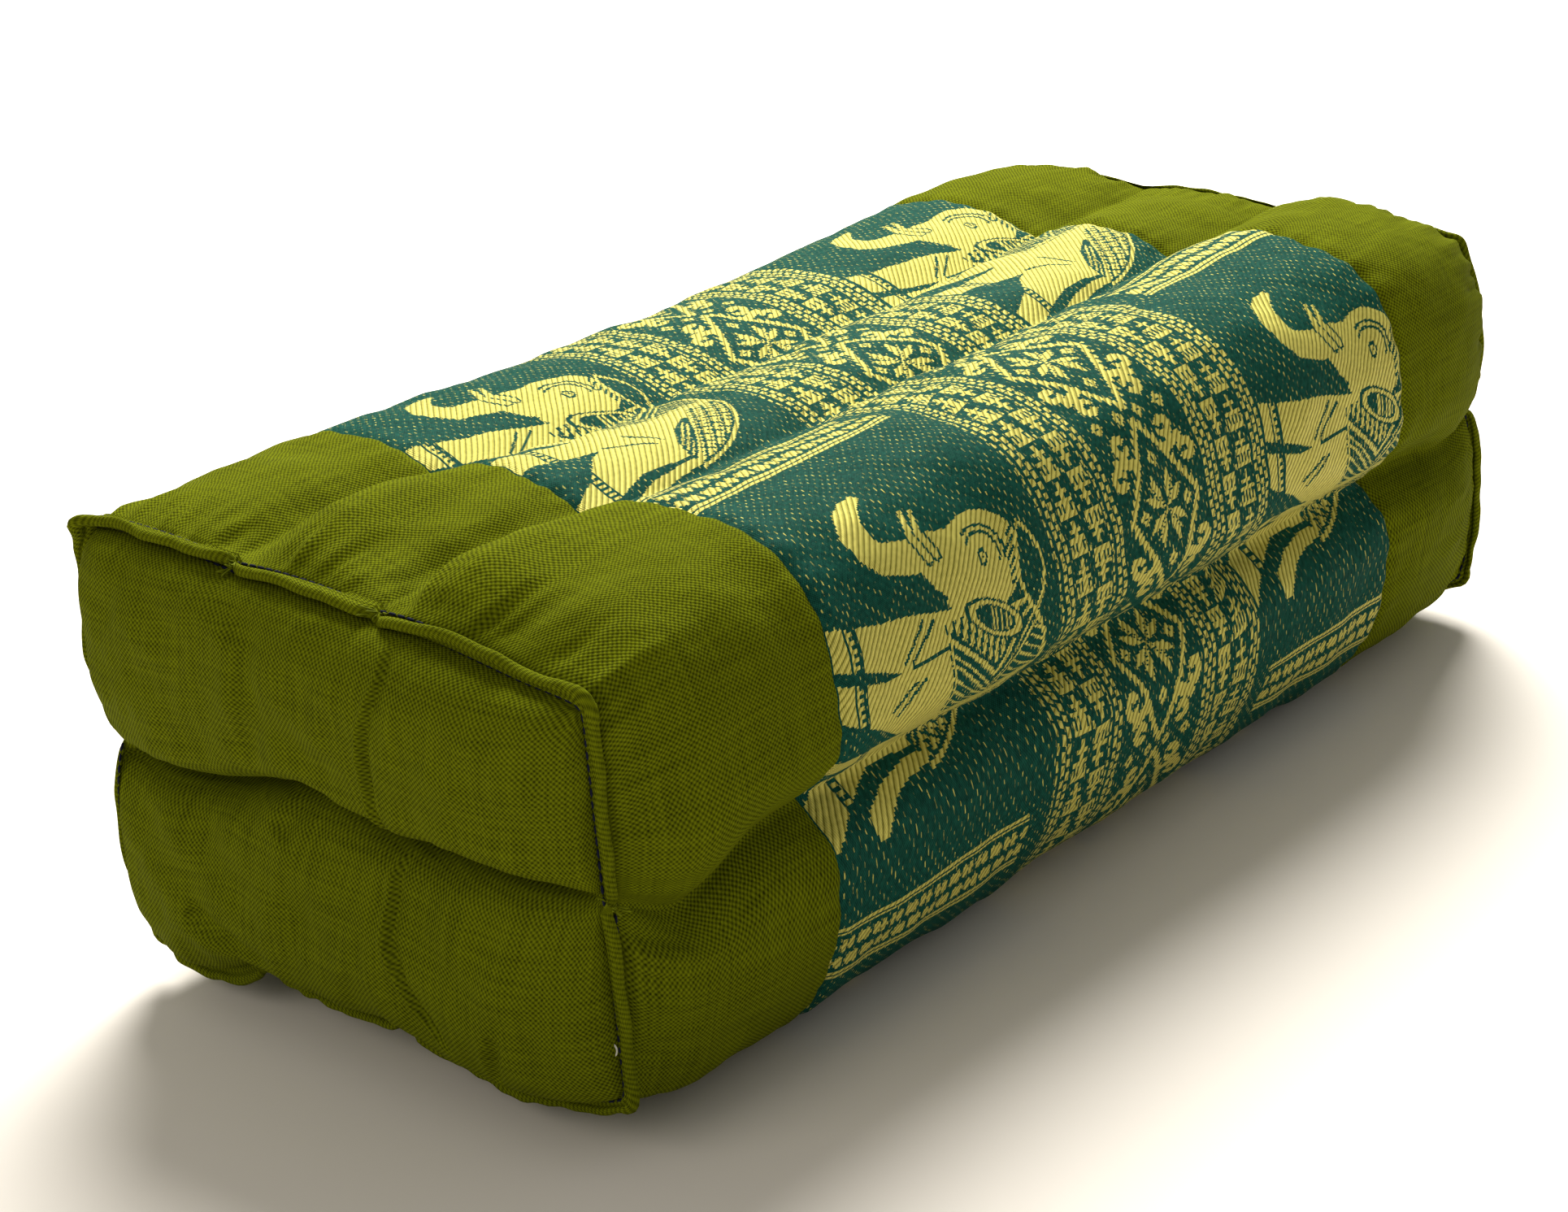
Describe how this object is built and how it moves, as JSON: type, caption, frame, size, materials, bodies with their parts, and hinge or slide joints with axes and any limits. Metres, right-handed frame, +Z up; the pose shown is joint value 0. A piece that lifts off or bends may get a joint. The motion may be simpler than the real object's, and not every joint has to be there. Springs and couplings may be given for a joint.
{
  "type": "rectangular cushion",
  "caption": "Long block cushion of stuffed channels: a brocade sleeve with plain cotton end bands, closed by end panels with raised folded rims.",
  "frame": {"origin": "on the surface the cushion lies on, under the middle of its box", "axes": "+Y along the length, +X across the width, +Z up from the broad face it lies on"},
  "size_m": [0.1782, 0.35, 0.1217],
  "materials": {
    "brocade": "bottle green brocade with a pattern in gold thread, slightly glossy on the gold",
    "plain_cotton": "coarse plain weave in olive green, matt"
  },
  "bodies": {
    "root": {"brocade_sleeve": "brocade", "cotton_band_near": "plain_cotton", "cotton_band_far": "plain_cotton", "end_panel_near": "plain_cotton", "end_panel_far": "plain_cotton"}
  },
  "joints": []
}
